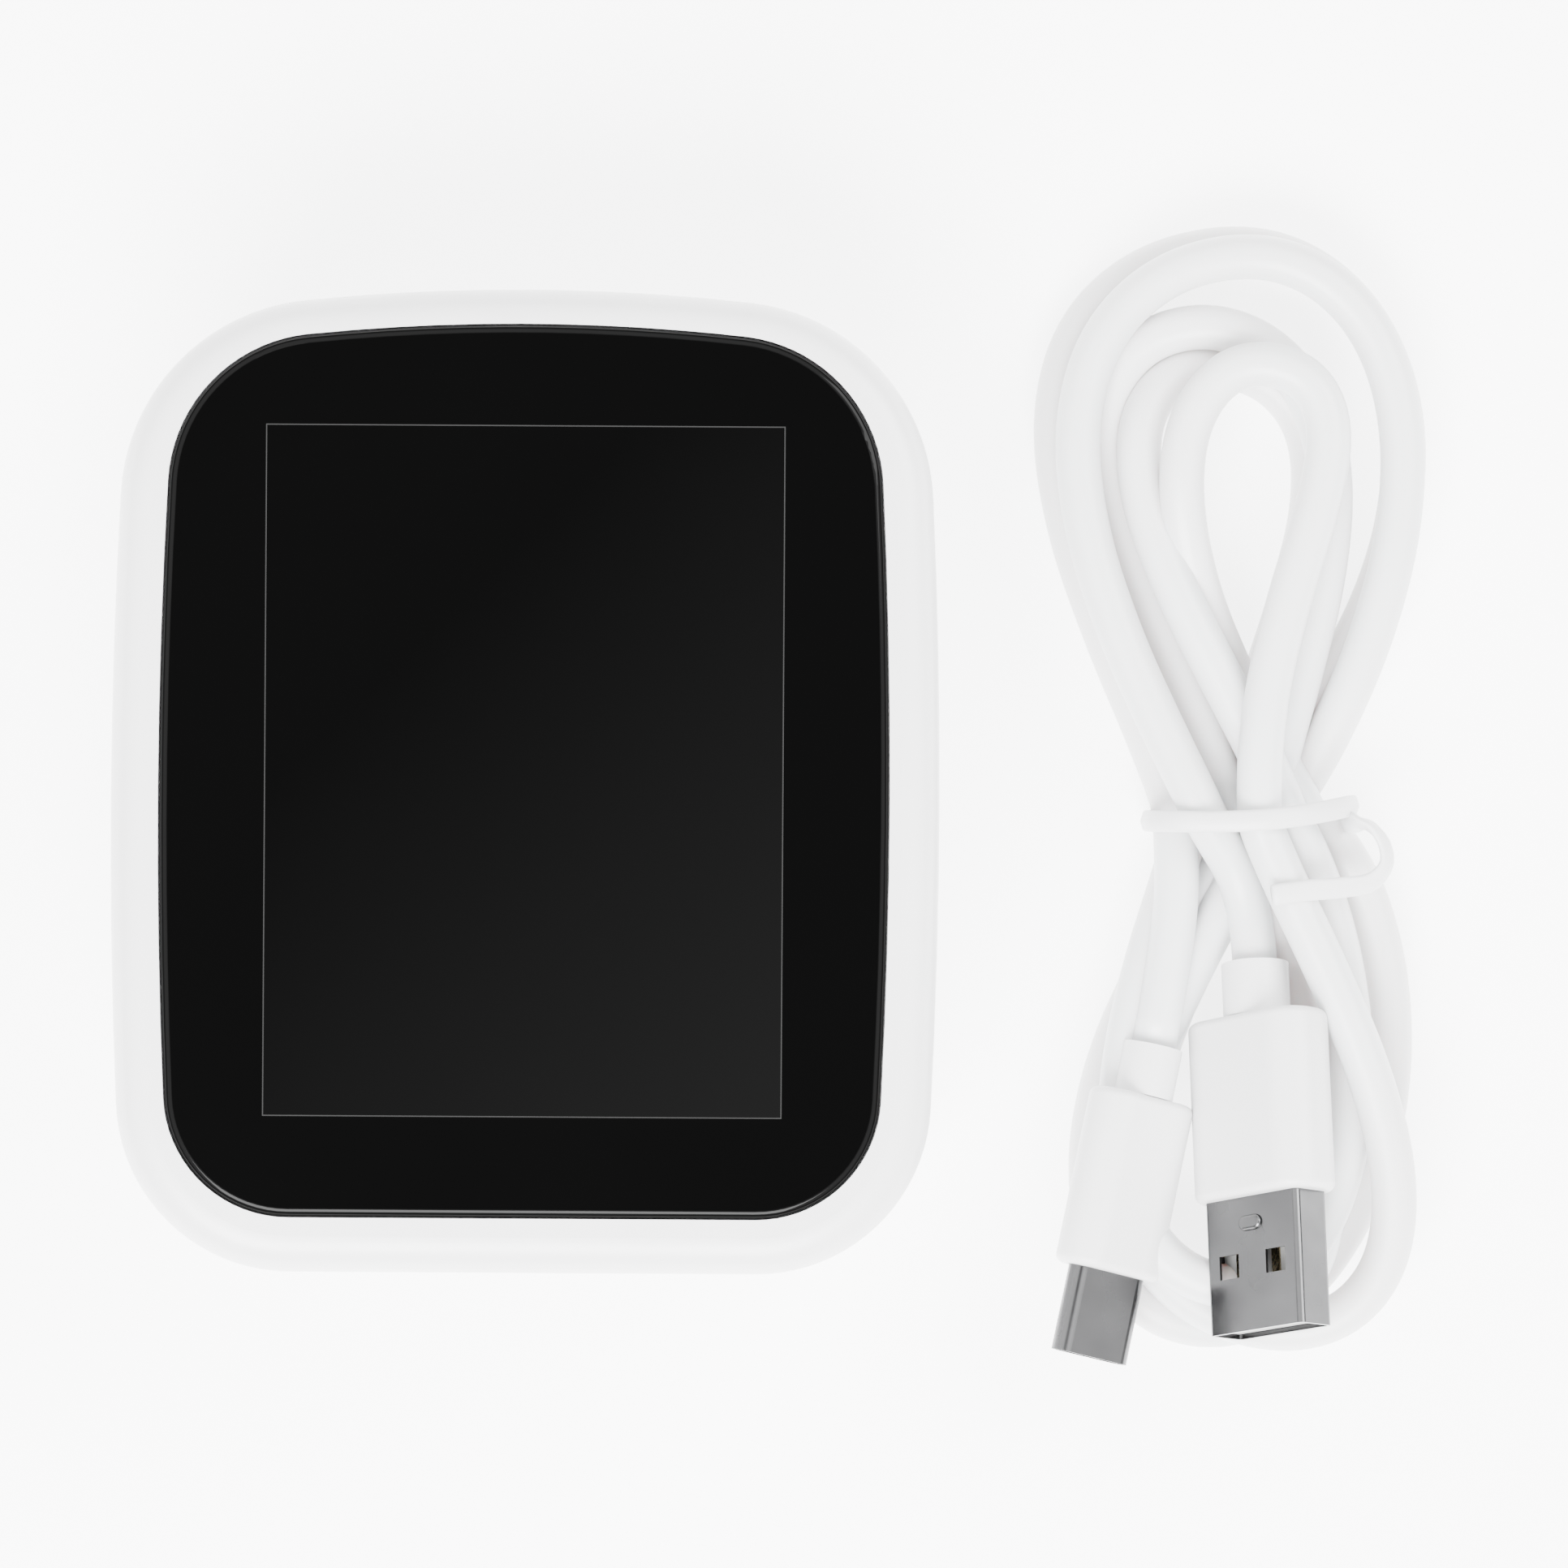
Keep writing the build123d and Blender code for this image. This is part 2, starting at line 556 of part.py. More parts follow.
# ---------------------------------------------------------------- power button and its switch
with BuildPart() as power_button:
    with BuildSketch(TOP_WALL.offset(FLANGE_Y[1])):
        SlotOverall(BUTTON_W, BUTTON_H)
    extrude(amount=2 * WALL)
    with BuildSketch(Plane.XY.offset(PART_Z)):
        add(case_face(-BUTTON_PROUD))
    extrude(amount=PLATE_Z - PART_Z, mode=Mode.INTERSECT)
    fillet(power_button.faces().sort_by(Axis.Y)[-1].edges(), 0.5)
    with BuildSketch(TOP_WALL.offset(FLANGE_Y[0])):
        SlotOverall(BUTTON_W + 2.4, BUTTON_H + 2.0)
    extrude(amount=FLANGE_Y[1] - FLANGE_Y[0])
    with BuildSketch(TOP_WALL.offset(PLUNGER_TIP_Y)):
        Rectangle(3.0, 2.6)
    extrude(amount=FLANGE_Y[0] - PLUNGER_TIP_Y)
save("power_button", power_button)

with BuildPart() as button_switch:
    with Locations((BUTTON_X, (SWITCH_Y[0] + SWITCH_Y[1]) / 2, BOARD_Z)):
        Box(6.4, SWITCH_Y[1] - SWITCH_Y[0], 3.4, align=DOWN)
    with BuildSketch(TOP_WALL.offset(SWITCH_Y[1] - 2.4)):
        Rectangle(2.4, 1.9)
    extrude(amount=2.4, mode=Mode.SUBTRACT)
save("button_switch", button_switch)

with BuildPart() as switch_plunger:
    with BuildSketch(TOP_WALL.offset(PLUNGER_TIP_Y - 2.9)):
        Rectangle(2.2, 1.6)
    extrude(amount=2.9)
save("switch_plunger", switch_plunger)

# ---------------------------------------------------------------- particle sensor with its fan
with BuildPart() as particle_sensor_body:
    with Locations((*SENSOR_AT, SENSOR_Z[0])):
        Box(*SENSOR_BOX, SENSOR_Z[1] - SENSOR_Z[0], align=UP)
    fillet(particle_sensor_body.edges().filter_by(Axis.Z), 2.0)
    with Locations((*FAN_AT, SENSOR_Z[0])):
        Cylinder(FAN_POCKET_R, FAN_FLOOR_Z - SENSOR_Z[0], align=UP, mode=Mode.SUBTRACT)
    # air path from the inlet, past the laser, to the fan
    with Locations((SENSOR_AT[0] + 8.5, SENSOR_AT[1], SENSOR_Z[0])):
        Box(14.0, 5.0, 6.0, align=UP, mode=Mode.SUBTRACT)
save("particle_sensor_body", particle_sensor_body)

with BuildPart() as particle_sensor_cover:
    with BuildSketch(Plane.XY.offset(SENSOR_Z[0] - SENSOR_COVER_T)):
        with Locations(SENSOR_AT):
            RectangleRounded(*SENSOR_BOX, 2.0)
        with Locations(FAN_AT):
            Circle(FAN_POCKET_R - 0.8, mode=Mode.SUBTRACT)
            Circle(2.4)
            Rectangle(2 * FAN_POCKET_R, 1.1)
            Rectangle(1.1, 2 * FAN_POCKET_R)
        with Locations((SENSOR_AT[0] + 12.5, SENSOR_AT[1])):
            SlotOverall(8.0, 4.0, rotation=90, mode=Mode.SUBTRACT)
    extrude(amount=SENSOR_COVER_T)
save("particle_sensor_cover", particle_sensor_cover)

with BuildPart() as fan_axle:
    with Locations((*FAN_AT, FAN_FLOOR_Z)):
        Cylinder(AXLE_R, FAN_FLOOR_Z - HUB_Z[0] - 0.2, align=DOWN)
save("fan_axle", fan_axle)

with BuildPart() as fan_rotor:
    with Locations((*FAN_AT, HUB_Z[0])):
        Cylinder(HUB_R, HUB_Z[1] - HUB_Z[0], align=UP)
    fillet(fan_rotor.edges().filter_by(GeomType.CIRCLE).group_by(Axis.Z)[0], 0.8)
    with Locations((*FAN_AT, (HUB_Z[0] + HUB_Z[1]) / 2)):
        with PolarLocations((HUB_R + FAN_R) / 2 - 0.2, BLADES):
            Box(FAN_R - HUB_R + 0.4, 0.7, 5.4, rotation=(32, 0, 0))
    with Locations((*FAN_AT, HUB_Z[0])):
        Cylinder(AXLE_R + AXLE_CLEARANCE, HUB_Z[1] - HUB_Z[0], align=UP, mode=Mode.SUBTRACT)
save("fan_rotor", fan_rotor)

with BuildPart() as sensor_tape:
    with BuildSketch(Plane.XY.offset(SENSOR_Z[1])):
        with Locations(SENSOR_AT):
            Rectangle(SENSOR_BOX[0] - 4, SENSOR_BOX[1] - 4)
    extrude(amount=BOARD_Z - SENSOR_Z[1])
save("sensor_tape", sensor_tape)

with BuildPart() as dust_filter:
    with BuildSketch(Plane.XY.offset(INNER_BACK_Z)):
        with Locations((0, UPPER_VENTS_Y)):
            RectangleRounded(VENT_COLUMNS + VENT_W + 2, 7 * VENT_PITCH, 2.0)
    extrude(amount=FILTER_T)
save("dust_filter", dust_filter)

with BuildPart() as fan_gasket:
    with BuildSketch(Plane.XY.offset(INNER_BACK_Z + FILTER_T)):
        with Locations(FAN_AT):
            Circle(FAN_POCKET_R + 1.4)
            Circle(FAN_POCKET_R, mode=Mode.SUBTRACT)
    extrude(amount=SENSOR_Z[0] - SENSOR_COVER_T - INNER_BACK_Z - FILTER_T)
save("fan_gasket", fan_gasket)

# ---------------------------------------------------------------- battery
BATTERY_TOP_Z = BOARD_Z - TAPE_T
with BuildPart() as battery_cell:
    with Locations((*BATTERY_AT, BATTERY_TOP_Z)):
        Box(*BATTERY, align=DOWN)
    fillet(battery_cell.edges().filter_by(Axis.Y), 2.2)
save("battery_cell", battery_cell)

with BuildPart() as battery_tape:
    with BuildSketch(Plane.XY.offset(BATTERY_TOP_Z)):
        with Locations(BATTERY_AT):
            Rectangle(BATTERY[0] - 8, BATTERY[1] - 8)
    extrude(amount=TAPE_T)
save("battery_tape", battery_tape)

PLUG_AT = (21.2, -31.5)
PLUG_SIZE = (6.0, 4.6, 4.4)
with BuildPart() as battery_connector:
    with Locations((*PLUG_AT, BOARD_Z)):
        Box(*PLUG_SIZE, align=DOWN)
save("battery_connector", battery_connector)

WIRE_R = 0.6
WIRE_Z = BATTERY_TOP_Z - BATTERY[2] / 2
with BuildPart() as battery_wires:
    for shift in (-0.9, 0.9):
        right = BATTERY_AT[0] + BATTERY[0] / 2
        plug_y = PLUG_AT[1] + PLUG_SIZE[1] / 2
        with BuildLine() as wire:
            FilletPolyline(
                (right, -12.0 + shift, WIRE_Z),
                (PLUG_AT[0] + shift, -12.0 + shift, WIRE_Z),
                (PLUG_AT[0] + shift, -20.0, WIRE_Z + 1.2),
                (PLUG_AT[0] + shift, plug_y, WIRE_Z + 1.2),
                radius=[2.4, 2.4],
            )
        with BuildSketch(Plane(origin=wire.line @ 0, z_dir=wire.line % 0)):
            Circle(WIRE_R)
        sweep(path=wire.line)
save("battery_wires", battery_wires)

# ---------------------------------------------------------------- USB-A plug
a_axis = plug_axis(A_TILT, A_LEAN)
a_mouth = A_TIP - a_axis * A_SHELL[2]  # where the metal leaves the moulded body
a_back = a_mouth - a_axis * A_BODY[2]
a_end = a_back - a_axis * A_COLLAR_L

with BuildPart() as usb_a_shell:
    with BuildSketch(facing(a_mouth, a_axis, A_ROLL)):
        RectangleRounded(A_SHELL[0], A_SHELL[1], 0.6)
        RectangleRounded(
            A_SHELL[0] - 2 * A_SHELL_WALL,
            A_SHELL[1] - 2 * A_SHELL_WALL,
            0.3,
            mode=Mode.SUBTRACT,
        )
    extrude(amount=A_SHELL[2])
    # the two latch windows in each broad face
    across = facing(a_mouth, a_axis, A_ROLL)
    windows_at = a_mouth + a_axis * A_WINDOW_FROM_BODY
    with BuildSketch(Plane(origin=windows_at, x_dir=across.x_dir, z_dir=across.y_dir)):
        with GridLocations(A_WINDOW_PITCH, 1, 2, 1):
            Rectangle(*A_WINDOW)
    extrude(amount=A_SHELL[1], both=True, mode=Mode.SUBTRACT)
    # pressed dimple between them and the moulded body
    dimple_at = a_mouth + a_axis * A_DIMPLE_FROM_BODY + across.y_dir * (A_SHELL[1] / 2)
    with BuildSketch(Plane(origin=dimple_at, x_dir=across.x_dir, z_dir=across.y_dir)):
        SlotOverall(A_DIMPLE[0], A_DIMPLE[1])
    pressed = extrude(amount=A_DIMPLE[2])
    crown = dimple_at + across.y_dir * A_DIMPLE[2]
    rim = [e for e in pressed.edges() if abs((e.center() - crown).dot(across.y_dir)) < 1e-4]
    rim = [e for e in usb_a_shell.edges() if any((e.center() - r.center()).length < 1e-4 for r in rim)]
    fillet(rim, A_DIMPLE_ROUND)
save("usb_a_shell", usb_a_shell)

with BuildPart() as usb_a_core:
    with BuildSketch(facing(a_mouth, a_axis, A_ROLL)):
        with Locations((0, A_TONGUE[0])):
            Rectangle(A_SHELL[0] - 2 * A_SHELL_WALL - 0.1, A_TONGUE[1])
    extrude(amount=A_SHELL[2] - 0.5)
save("usb_a_core", usb_a_core)

with BuildPart() as usb_a_contacts:
    with BuildSketch(facing(a_mouth + a_axis * 2.5, a_axis, A_ROLL)):
        with Locations((0, 0.05)):
            with GridLocations(2.3, 1, 4, 1):
                Rectangle(1.0, 0.2)
    extrude(amount=A_SHELL[2] - 4.2)
save("usb_a_contacts", usb_a_contacts)

with BuildPart() as usb_a_housing:
    with BuildSketch(facing(a_back, a_axis, A_ROLL)):
        RectangleRounded(A_BODY[0], A_BODY[1], A_BODY_R)
    extrude(amount=A_BODY[2])
    ends = usb_a_housing.faces().filter_by(GeomType.PLANE).sort_by(Axis.Y)
    fillet((ends[0].edges() + ends[-1].edges()), 0.8)
save("usb_a_housing", usb_a_housing)

with BuildPart() as usb_a_collar:
    with BuildSketch(facing(a_end, a_axis)):
        Circle(A_COLLAR_R)
    extrude(amount=A_COLLAR_L)
save("usb_a_collar", usb_a_collar)

# ---------------------------------------------------------------- USB-C plug
c_axis = plug_axis(C_TILT, C_LEAN)
c_mouth = C_TIP - c_axis * C_SHELL[2]
c_back = c_mouth - c_axis * C_BODY[2]
c_end = c_back - c_axis * C_COLLAR_L

with BuildPart() as usb_c_shell:
    with BuildSketch(facing(c_mouth, c_axis, C_ROLL)):
        SlotOverall(C_SHELL[0], C_SHELL[1])
        SlotOverall(C_SHELL[0] - 2 * C_SHELL_WALL, C_SHELL[1] - 2 * C_SHELL_WALL, mode=Mode.SUBTRACT)
    extrude(amount=C_SHELL[2])
save("usb_c_shell", usb_c_shell)

with BuildPart() as usb_c_core:
    with BuildSketch(facing(c_mouth, c_axis, C_ROLL)):
        SlotOverall(C_SHELL[0] - 2 * C_SHELL_WALL - 0.1, C_SHELL[1] - 2 * C_SHELL_WALL - 0.1)
    extrude(amount=2.0)
save("usb_c_core", usb_c_core)

with BuildPart() as usb_c_housing:
    with BuildSketch(facing(c_back, c_axis, C_ROLL)):
        SlotOverall(C_BODY[0], C_BODY[1])
    extrude(amount=C_BODY[2])
    ends = usb_c_housing.faces().filter_by(GeomType.PLANE).sort_by(Axis.Y)
    fillet((ends[0].edges() + ends[-1].edges()), 0.8)
save("usb_c_housing", usb_c_housing)

with BuildPart() as usb_c_collar:
    with BuildSketch(facing(c_end, c_axis)):
        Circle(C_COLLAR_R)
    extrude(amount=C_COLLAR_L)
save("usb_c_collar", usb_c_collar)

# ---------------------------------------------------------------- the cord: two leads
# Each lead comes out of the tied hank and runs to its plug, by straight runs and tangent arcs.
TIE_TOP_Z = WAIST_Z + WAIST_H - CORD_R
LEAD_A = [TIE_AT + Vector(-4.3, 0, TIE_TOP_Z), a_end - a_axis * A_LEAD_RUN, a_end]
LEAD_C = [TIE_AT + Vector(-6.9, 0, 6.8), c_end - c_axis * C_LEAD_RUN, c_end]


def cord(points):
    """Tube along a route, with the widest arcs that its runs allow."""
    runs = [b - a for a, b in zip(points, points[1:])]
    radii = []
    for before, after in zip(runs, runs[1:]):
        half_turn = math.radians(before.get_angle(after)) / 2
        radii.append(0.45 * min(before.length, after.length) / math.tan(half_turn))
    print("arc radii, mm:", [round(radius, 1) for radius in radii])
    with BuildPart() as tube:
        with BuildLine() as route:
            FilletPolyline(*points, radius=radii)
        with BuildSketch(Plane(origin=route.line @ 0, z_dir=route.line % 0)):
            Circle(CORD_R)
        sweep(path=route.line)
    expected = math.pi * CORD_R**2 * route.wires()[0].length
    print("cord volume", round(tube.part.volume), "of", round(expected))
    return tube


cable_lead_a = cord(LEAD_A)
save("cable_lead_a", cable_lead_a)
cable_lead_c = cord(LEAD_C)
save("cable_lead_c", cable_lead_c)

# ---------------------------------------------------------------- twist tie
TIE_T, TIE_W = 0.9, 2.1
TIE_GAP = 0.05
TIE_LOOP = [(8.6, -0.6, 11.6), (13.2, -1.4, 12.0), (12.8, -6.2, 12.4), (2.2, -7.6, 14.4)]
with BuildPart() as cable_tie:
    ring_centre = TIE_AT + Vector(0, TIE_W / 2, WAIST_Z + WAIST_H / 2)
    with BuildSketch(Plane(origin=ring_centre, x_dir=(1, 0, 0), z_dir=(0, -1, 0))):
        inner_w, inner_h = WAIST_W + 2 * TIE_GAP, WAIST_H + 2 * TIE_GAP
        RectangleRounded(inner_w + 2 * TIE_T, inner_h + 2 * TIE_T, WAIST_R + TIE_T)
        RectangleRounded(inner_w, inner_h, WAIST_R, mode=Mode.SUBTRACT)
    extrude(amount=TIE_W)
    with BuildLine() as tail:
        FilletPolyline(*[TIE_AT + Vector(*point) for point in TIE_LOOP], radius=[1.9, 1.9])
    with BuildSketch(Plane(origin=tail.line @ 0, z_dir=tail.line % 0)):
        Circle(TIE_T)
    sweep(path=tail.line)
save("cable_tie", cable_tie)

# ---------------------------------------------------------------- the cord: the tied hank
LOBE_STEPS = 18
WIDEST = 0.77  # of the width that the lobe's formula is given


def lobe(left, right, reach, start):
    """One side of the hank's outline: leaves the tie as a point and ends round."""
    points = []
    for step in range(LOBE_STEPS + 1):
        turn = 2 * math.pi * step / LOBE_STEPS
        width = left if 2 * step < LOBE_STEPS else right
        x = -width / WIDEST * math.sin(turn) * math.sin(turn / 2)
        points.append((x, start + reach * (1 - math.cos(turn)) / 2))
    with BuildSketch(Plane.XY, mode=Mode.PRIVATE) as face:
        with BuildLine():
            Spline(*points)
        make_face()
    return face.sketch.moved(Location(TIE_AT))


with BuildPart() as cable_hank:
    # upper turns: two wide ones outside, three narrower inside, with a gap between them
    with BuildSketch():
        add(lobe(*OUTER_TURNS))
        add(lobe(*OUTER_GAP), mode=Mode.SUBTRACT)
    extrude(amount=OUTER_TURNS_H)
    with BuildSketch():
        add(lobe(*INNER_TURNS))
        add(lobe(*INNER_GAP), mode=Mode.SUBTRACT)
    extrude(amount=INNER_TURNS_H)
    # lower turns, low under the plugs
    with BuildSketch():
        add(lobe(*LOWER_TURNS))
        add(lobe(*LOWER_GAP), mode=Mode.SUBTRACT)
    extrude(amount=LOWER_TURNS_H)
    with BuildSketch(Plane(origin=TIE_AT + Vector(0, WAIST_D / 2, 0), x_dir=(1, 0, 0), z_dir=(0, -1, 0))):
        with Locations((0, WAIST_Z + WAIST_H / 2)):
            RectangleRounded(WAIST_W, WAIST_H, WAIST_R)
    extrude(amount=WAIST_D)
    for piece in (usb_a_housing, usb_a_collar, usb_a_shell, usb_c_housing, usb_c_collar, usb_c_shell):
        add(piece.part, mode=Mode.SUBTRACT)
    for piece in (cable_lead_a, cable_lead_c, cable_tie):
        add(piece.part, mode=Mode.SUBTRACT)
save("cable_hank", cable_hank)
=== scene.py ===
import json
import math

import bmesh
import bpy
import numpy as np
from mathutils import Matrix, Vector


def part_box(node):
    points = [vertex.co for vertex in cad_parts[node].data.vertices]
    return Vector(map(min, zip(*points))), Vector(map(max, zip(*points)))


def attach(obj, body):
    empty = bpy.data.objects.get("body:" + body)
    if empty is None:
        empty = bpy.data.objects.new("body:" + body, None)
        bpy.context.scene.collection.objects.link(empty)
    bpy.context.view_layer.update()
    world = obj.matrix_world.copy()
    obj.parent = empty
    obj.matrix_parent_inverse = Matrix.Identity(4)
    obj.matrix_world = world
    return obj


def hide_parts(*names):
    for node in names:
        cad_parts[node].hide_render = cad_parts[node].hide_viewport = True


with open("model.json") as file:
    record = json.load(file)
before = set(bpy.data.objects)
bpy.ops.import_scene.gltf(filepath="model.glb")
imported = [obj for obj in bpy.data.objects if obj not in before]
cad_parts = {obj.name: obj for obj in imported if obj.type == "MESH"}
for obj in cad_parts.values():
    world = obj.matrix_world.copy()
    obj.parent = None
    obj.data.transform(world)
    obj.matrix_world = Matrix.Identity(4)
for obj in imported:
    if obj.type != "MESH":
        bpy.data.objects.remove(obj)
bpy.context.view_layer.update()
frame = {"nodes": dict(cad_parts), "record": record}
nodes = frame["nodes"]
MM = 0.001

# ---------------------------------------------------------------- camera: straight down
LENS_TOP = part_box("display_lens")[1][2]
CAMERA_AT = (24.4 * MM, -0.1 * MM, LENS_TOP + 600 * MM)
VIEW_WIDTH = 147.0 * MM  # what the camera sees across, at the display
CAMERA_ROLL_DEG = 0.35

camera_data = bpy.data.cameras.new("camera")
camera_data.sensor_width = 36.0
camera_data.lens = camera_data.sensor_width * (CAMERA_AT[2] - LENS_TOP) / VIEW_WIDTH
camera_data.clip_start = 0.01
camera = bpy.data.objects.new("camera", camera_data)
camera.location = CAMERA_AT
camera.rotation_euler = (0, 0, math.radians(CAMERA_ROLL_DEG))
bpy.context.scene.collection.objects.link(camera)
bpy.context.scene.camera = camera

# ---------------------------------------------------------------- the USB cord: route
# Millimetres from the tie. The leads' points are the CAD leads'; the turns are worked out below.
CORD_R = 2.2
TIE_AT = np.array([69.7, -3.2, 0.0])
LEAD_A = [(-4.3, 0.0, 11.4), (0.61, -7.43, 6.80), (0.83, -14.24, 8.38)]
LEAD_C = [(-6.9, 0.0, 6.8), (-6.69, -10.62, 7.97), (-9.13, -22.28, 9.43)]
LOBE_POINTS = 15
SWING_SAMPLES = 60
RISE_ABOVE, RISE_BELOW = 1.5, 0.7  # how soon a side reaches its own height, out from the tie

# Where a strand goes through the tie: across, and height.
A_LEFT, A_RIGHT = (-6.9, 6.8), (-5.2, 2.3)
B_LEFT, B_RIGHT = (-4.3, 11.4), (3.4, 2.6)
C_LEFT, C_RIGHT = (3.8, 9.2), (-1.0, 2.3)
C2_LEFT, C2_RIGHT = (-1.8, 7.0), (2.0, 6.0)
D_LEFT, D_RIGHT = (6.1, 5.6), (0.9, 12.4)

# Each turn from the USB-A plug's lead to the USB-C plug's lead: where it starts and ends in the tie,
# how far each side bulges, its reach (+ above the tie, - below), where its round end is,
# how late each side is widest, and the height each side lies at.
TURNS = [
    (B_LEFT, B_RIGHT, -16.8, 15.1, 55.5, 0.0, 1.2, 0.9, 7.6, 6.6),
    (B_RIGHT, D_LEFT, -14.4, 14.1, -50.4, -3.0, 0.6, 0.4, 2.3, 2.3),
    (D_LEFT, D_RIGHT, -7.9, 7.3, 44.7, 0.8, 1.5, 4.0, 9.4, 9.4),
    (D_RIGHT, C2_RIGHT, 12.6, -14.0, -50.3, 4.0, 1.4, 1.7, 9.5, 2.3),
    (C2_RIGHT, C2_LEFT, 10.4, -11.7, 48.6, -4.5, 1.8, 1.9, 5.2, 4.0),
    (C2_LEFT, C_RIGHT, 8.6, -11.4, -49.5, 0.0, 1.3, 2.0, 2.3, 2.3),
    (C_RIGHT, C_LEFT, 9.0, -9.5, 44.9, -3.1, 2.8, 1.9, 2.4, 5.4),
    (C_LEFT, A_RIGHT, 10.3, -11.6, -46.0, -1.0, 0.7, 1.2, 5.8, 6.8),
    (A_RIGHT, A_LEFT, 17.2, -18.2, 56.7, -0.8, 0.5, 1.4, 2.3, 2.3),
]


def swing(turn, late):
    """How much of its bulge a side has reached at this angle of the turn."""
    angles = np.linspace(0, math.pi, SWING_SAMPLES)
    peak = max(np.sin(angles) * np.sin(angles / 2) ** late)
    return abs(math.sin(turn)) * math.sin(turn / 2) ** late / peak


def lobe(start, end, bulge_start, bulge_end, reach, top, late_start, late_end, low_start, low_end):
    """Points of one turn: out of the tie, round its end and back, without the point in the tie."""
    points = []
    for step in range(1, LOBE_POINTS + 1):
        turn = 2 * math.pi * step / (LOBE_POINTS + 1)
        first = turn < math.pi
        waist_x, waist_z = start if first else end
        bulge, late = (bulge_start, late_start) if first else (bulge_end, late_end)
        gone = math.sin(turn / 2) ** 2
        x = waist_x * (1 - gone) ** 2 + bulge * swing(turn, late) + top * gone**2
        away = gone ** (RISE_ABOVE if reach > 0 else RISE_BELOW)
        round_it = (1 - math.cos(turn / 2)) / 2
        layer = low_start + (low_end - low_start) * round_it
        height = waist_z * (1 - away) + layer * away
        points.append((x, reach * gone, height))
    return points


# How the heights of crossing strands are settled.
SAME_STRAND = 16.0  # points nearer than this along the cord are one strand
SETTLE_ROUNDS = 400
PUSH = 2.0
SINK_STEP = 0.01
SMOOTHING = 0.3


def settle(points, fixed):
    """Heights only: crossing strands are pushed apart and sink again. Some still run through others."""
    points = np.array(points, dtype=float)
    count = len(points)
    per_run = 6
    weights = np.zeros(((count - 1) * per_run, count))
    for run in range(count - 1):
        for part in range(per_run):
            weights[run * per_run + part, run] = 1 - part / per_run
            weights[run * per_run + part, run + 1] = part / per_run
    share = weights.T / np.maximum(weights.sum(axis=0)[:, None], 1e-6)
    fine = weights @ points
    along = np.concatenate([[0], np.cumsum(np.linalg.norm(np.diff(fine, axis=0), axis=1))])
    across = np.linalg.norm(fine[:, None, :2] - fine[None, :, :2], axis=2)
    apart = np.abs(along[:, None] - along[None, :]) > SAME_STRAND
    one, two = np.nonzero(np.triu(apart & (across < 2 * CORD_R)))
    needed = np.sqrt(4 * CORD_R**2 - across[one, two] ** 2)
    order = np.where(fine[one, 2] > fine[two, 2], 1.0, -1.0)
    met = np.bincount(one, minlength=len(fine)) + np.bincount(two, minlength=len(fine))
    heights = points[:, 2]
    start = heights.copy()
    for _ in range(SETTLE_ROUNDS):
        level = weights @ heights
        short = np.maximum(needed - order * (level[one] - level[two]), 0) * order / 2
        move = np.bincount(one, short, len(fine)) - np.bincount(two, short, len(fine))
        step = PUSH * share @ (move / np.maximum(met, 1)) - SINK_STEP
        step[1:-1] += SMOOTHING * ((heights[:-2] + heights[2:]) / 2 - heights[1:-1])
        heights += step
        heights[fixed] = start[fixed]
        np.maximum(heights, CORD_R, out=heights)
    return points


route = LEAD_A[::-1][:2]
fixed = [0, 1]
for turn in TURNS:
    fixed += [len(route) - 1, len(route), len(route) + 1]
    route.append((turn[0][0], 0.0, turn[0][1]))
    route.extend(lobe(*turn))
fixed += [len(route) - 1, len(route), len(route) + 1, len(route) + 2]
route += LEAD_C
cord_route = (settle(route, fixed) + TIE_AT) * MM


# ---------------------------------------------------------------- the USB cord: tube
def spline_line(points):
    """The smooth line with these control points, as points along it."""
    curve = bpy.data.curves.new("route", "CURVE")
    curve.dimensions = "3D"
    spline = curve.splines.new("NURBS")
    spline.points.add(len(points) - 1)
    for target, point in zip(spline.points, points):
        target.co = (*point, 1.0)
    spline.order_u = 3
    spline.use_endpoint_u = True
    spline.resolution_u = 8
    holder = bpy.data.objects.new("route", curve)
    mesh = bpy.data.meshes.new_from_object(holder)
    line = [vertex.co.copy() for vertex in mesh.vertices]
    bpy.data.objects.remove(holder)
    bpy.data.curves.remove(curve)
    bpy.data.meshes.remove(mesh)
    return line


def sweep(name, line, sides, profile):
    """Closed skin along a line; profile gives a ring's points from the place and two directions."""
    bm = bmesh.new()
    rings = []
    for k, point in enumerate(line):
        ahead = (line[min(k + 1, len(line) - 1)] - line[max(k - 1, 0)]).normalized()
        side = sides[k] - ahead * sides[k].dot(ahead)
        side.normalize()
        up = ahead.cross(side)
        rings.append([bm.verts.new(point + side * a + up * b) for a, b in profile])
    for one, two in zip(rings, rings[1:]):
        for k in range(len(profile)):
            n = (k + 1) % len(profile)
            bm.faces.new((one[k], one[n], two[n], two[k]))
    bm.faces.new(rings[0])
    bm.faces.new(rings[-1][::-1])
    bmesh.ops.recalc_face_normals(bm, faces=bm.faces)
    mesh = bpy.data.meshes.new(name)
    bm.to_mesh(mesh)
    bm.free()
    for face in mesh.polygons:
        face.use_smooth = True
    piece = bpy.data.objects.new(name, mesh)
    bpy.context.scene.collection.objects.link(piece)
    return piece


